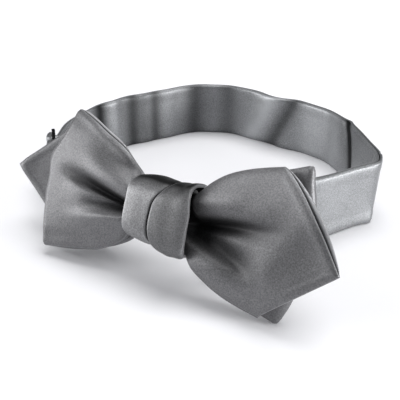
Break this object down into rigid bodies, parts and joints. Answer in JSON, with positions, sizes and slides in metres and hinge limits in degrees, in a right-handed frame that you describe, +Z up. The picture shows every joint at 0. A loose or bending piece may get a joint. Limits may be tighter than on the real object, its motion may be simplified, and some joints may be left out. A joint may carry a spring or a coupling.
{
  "type": "bow tie",
  "caption": "Pre-tied satin bow tie with a pointed end, gathered under a wound knot, on a neck band that closes behind with a metal clasp.",
  "frame": {"origin": "middle of the underside of the whole tie, on the surface it rests on", "axes": "+X along the bow towards its front pointed end, -Y out of the bow's front, +Z up from the surface"},
  "size_m": [0.1514, 0.1426, 0.0479],
  "materials": {
    "bow_satin": "satin",
    "knot_satin": "satin",
    "band_satin": "satin",
    "clasp_metal": "dark plated"
  },
  "bodies": {
    "root": {"bow_blade": "bow_satin", "knot_wrap": "knot_satin", "neck_band": "band_satin", "band_clasp": "clasp_metal"}
  },
  "joints": []
}
